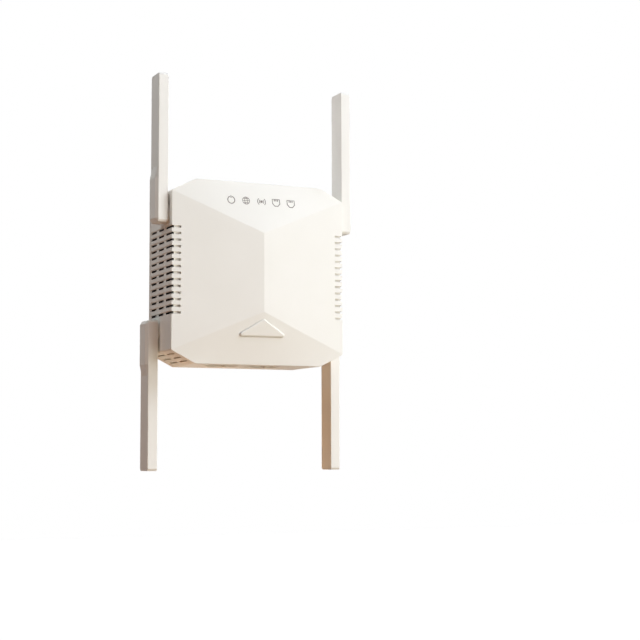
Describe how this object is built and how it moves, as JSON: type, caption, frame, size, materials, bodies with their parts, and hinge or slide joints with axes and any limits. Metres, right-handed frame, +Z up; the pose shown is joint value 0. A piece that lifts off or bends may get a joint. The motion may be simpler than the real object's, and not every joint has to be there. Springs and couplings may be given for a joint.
{
  "type": "wifi range extender",
  "caption": "Plug-in wireless range extender: octagonal ivory housing with a crowned front, vented sides, folding antennas, a pairing button, status lights and network jacks",
  "frame": {"origin": "centre of the rear face, between the plug blades", "axes": "+Y out of the rear face into the socket, so the crowned front faces -Y; +Z up; +X to the right as seen from the front"},
  "size_m": [0.0832, 0.0478, 0.152],
  "materials": {
    "ivory_shell": "fine moulded grain, ivory white",
    "clear_guide": "clear moulding",
    "black_plastic": "satin",
    "jack_plastic": "satin",
    "green_board": "solder mask",
    "bare_steel": "plain",
    "nickel": "tinned sheet",
    "brass": "bright",
    "ferrite": "sintered",
    "yellow_tape": "tape over copper",
    "sleeve_black": "shrink sleeve over an aluminium can",
    "lead_grey": "satin",
    "led_white": "clear resin"
  },
  "bodies": {
    "housing": {"antenna_lead_lower_left": "lead_grey", "antenna_lead_lower_right": "lead_grey", "antenna_lead_upper_left": "lead_grey", "antenna_lead_upper_right": "lead_grey", "case_screw_bottom_left": "bare_steel", "case_screw_bottom_right": "bare_steel", "case_screw_top_left": "bare_steel", "case_screw_top_right": "bare_steel", "front_cover": "ivory_shell", "input_capacitor": "sleeve_black", "jack_contacts_left": "brass", "jack_contacts_right": "brass", "lead_connector_lower_left": "brass", "lead_connector_lower_right": "brass", "lead_connector_upper_left": "brass", "lead_connector_upper_right": "brass", "light_guide": "clear_guide", "main_board": "green_board", "network_jack_left": "jack_plastic", "network_jack_right": "jack_plastic", "output_capacitor": "sleeve_black", "plug_blade_left": "brass", "plug_blade_right": "brass", "power_board": "green_board", "power_link": "black_plastic", "radio_chip": "black_plastic", "radio_shield": "nickel", "rear_cover": "ivory_shell", "status_led_1": "led_white", "status_led_2": "led_white", "status_led_3": "led_white", "status_led_4": "led_white", "status_led_5": "led_white", "tact_switch": "black_plastic", "transformer_core": "ferrite", "transformer_winding": "yellow_tape"},
    "antenna_upper_left": {"antenna_upper_left": "ivory_shell", "antenna_radiator_upper_left": "green_board", "antenna_clip_upper_left": "bare_steel"},
    "antenna_upper_right": {"antenna_upper_right": "ivory_shell", "antenna_radiator_upper_right": "green_board", "antenna_clip_upper_right": "bare_steel"},
    "antenna_lower_left": {"antenna_lower_left": "ivory_shell", "antenna_radiator_lower_left": "green_board", "antenna_clip_lower_left": "bare_steel"},
    "antenna_lower_right": {"antenna_lower_right": "ivory_shell", "antenna_radiator_lower_right": "green_board", "antenna_clip_lower_right": "bare_steel"},
    "button": {"pairing_button": "ivory_shell", "switch_plunger": "jack_plastic"}
  },
  "joints": [
    {"name": "upper_left_fold", "type": "hinge", "parent": "housing", "child": "antenna_upper_left", "pos_m": [-0.036, -0.01955, 0.022], "axis": [1, 0, 0], "range_deg": [0, 180]},
    {"name": "upper_right_fold", "type": "hinge", "parent": "housing", "child": "antenna_upper_right", "pos_m": [0.036, -0.01955, 0.022], "axis": [1, 0, 0], "range_deg": [0, 180]},
    {"name": "lower_left_fold", "type": "hinge", "parent": "housing", "child": "antenna_lower_left", "pos_m": [-0.036, -0.00915, -0.022], "axis": [1, 0, 0], "range_deg": [0, 180]},
    {"name": "lower_right_fold", "type": "hinge", "parent": "housing", "child": "antenna_lower_right", "pos_m": [0.036, -0.00915, -0.022], "axis": [1, 0, 0], "range_deg": [0, 180]},
    {"name": "button_press", "type": "slide", "parent": "housing", "child": "button", "axis": [0, 1, 0], "range_m": [0, 0.0004], "stiffness_N_per_m": 300, "springref_m": -0.002}
  ]
}
